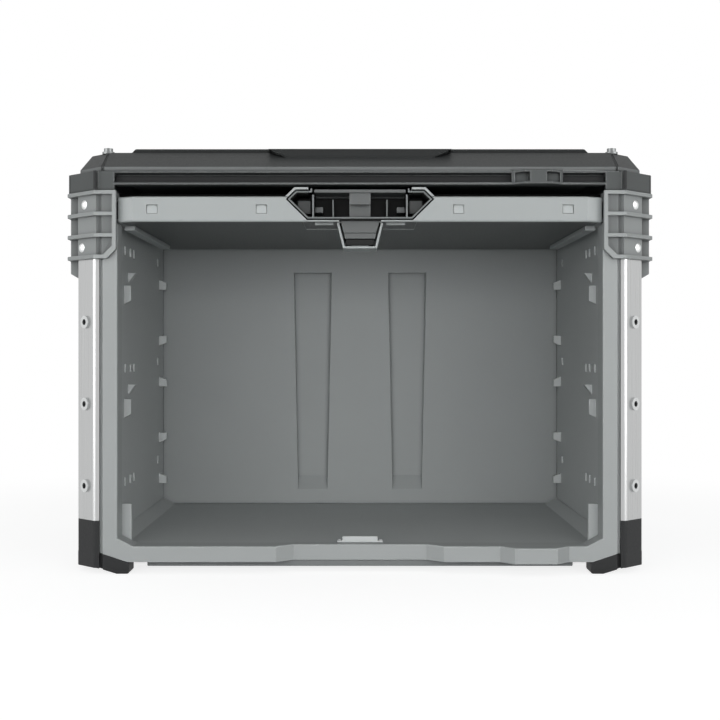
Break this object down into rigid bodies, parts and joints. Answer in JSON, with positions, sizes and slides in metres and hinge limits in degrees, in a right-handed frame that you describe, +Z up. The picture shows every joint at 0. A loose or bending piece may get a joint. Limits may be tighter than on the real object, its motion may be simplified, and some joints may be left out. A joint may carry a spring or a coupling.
{
  "type": "tool storage cabinet",
  "caption": "Stackable tool storage cabinet with a flip-up door that slides back under its lid, aluminium corner posts, ribbed corner brackets and moulded feet.",
  "frame": {"origin": "on the standing surface, under the middle of the object's box", "axes": "+X to the right seen from the front, -Y towards the front with the door opening, +Z up"},
  "size_m": [0.561, 0.386, 0.4075],
  "materials": {
    "body_grey": "fine moulded grain",
    "bracket_grey": "fine moulded grain",
    "lid_charcoal": "fine moulded grain",
    "foot_black": "matte",
    "post_aluminium": "satin anodised",
    "bright_steel": "bright zinc",
    "dark_steel": "blackened",
    "zinc_steel": "zinc",
    "door_grey": "fine moulded grain",
    "trim_grey": "smooth moulded",
    "handle_black": "fine moulded grain",
    "paddle_charcoal": "fine moulded grain"
  },
  "bodies": {
    "cabinet": {"front_frame": "body_grey", "base_tray": "body_grey", "back_wall": "body_grey", "roof_panel": "body_grey", "rear_shell": "body_grey", "left_side_wall": "body_grey", "right_side_wall": "body_grey", "left_side_shell": "body_grey", "right_side_shell": "body_grey", "left_door_stop": "body_grey", "right_door_stop": "body_grey", "latch_keeper": "body_grey", "front_left_bracket": "bracket_grey", "front_right_bracket": "bracket_grey", "rear_left_bracket": "bracket_grey", "rear_right_bracket": "bracket_grey", "top_cover": "lid_charcoal", "front_left_foot": "foot_black", "front_right_foot": "foot_black", "rear_left_foot": "foot_black", "rear_right_foot": "foot_black", "base_skids": "foot_black", "lid_trim_strip": "foot_black", "front_left_post": "post_aluminium", "front_right_post": "post_aluminium", "rear_left_post": "post_aluminium", "rear_right_post": "post_aluminium", "post_screw_cups": "bright_steel", "bracket_rivets": "bright_steel", "lid_studs": "bright_steel", "post_screws": "dark_steel", "rail_screws": "zinc_steel", "keeper_screws": "zinc_steel", "left_guide_rail": "zinc_steel", "right_guide_rail": "zinc_steel"},
    "door": {"door_outer_shell": "door_grey", "door_inner_panel": "door_grey", "handle_bezel": "door_grey", "handle_housing": "handle_black", "handle_rim": "trim_grey", "handle_blocks": "paddle_charcoal", "handle_stem": "paddle_charcoal", "paddle_pin": "zinc_steel", "latch_rim": "trim_grey", "latch_housing": "paddle_charcoal", "left_door_glide": "door_grey", "right_door_glide": "door_grey"},
    "carriage": {"left_glide_shoe": "handle_black", "right_glide_shoe": "handle_black", "left_pivot_pin": "zinc_steel", "right_pivot_pin": "zinc_steel"},
    "paddle": {"latch_paddle": "paddle_charcoal"},
    "bolt": {"latch_bolt": "handle_black"}
  },
  "joints": [
    {"name": "door_slide", "type": "slide", "parent": "cabinet", "child": "carriage", "axis": [0, -1, 0], "range_m": [0, 0.2961]},
    {"name": "door_swing", "type": "hinge", "parent": "carriage", "child": "door", "pos_m": [0, 0.129, 0.3421], "axis": [1, 0, 0], "range_deg": [0, 90]},
    {"name": "paddle_turn", "type": "hinge", "parent": "door", "child": "paddle", "pos_m": [0, -0.1504, 0.3589], "axis": [1, 0, 0], "range_deg": [0, 12]},
    {"name": "bolt_throw", "type": "slide", "parent": "door", "child": "bolt", "axis": [0, -1, 0], "range_m": [0, 0.0085]}
  ],
  "couplings": [
    {"joint": "door_swing", "follows": "door_slide", "rad_per_m": 5.305},
    {"joint": "bolt_throw", "follows": "paddle_turn", "m_per_rad": 0.04058}
  ]
}
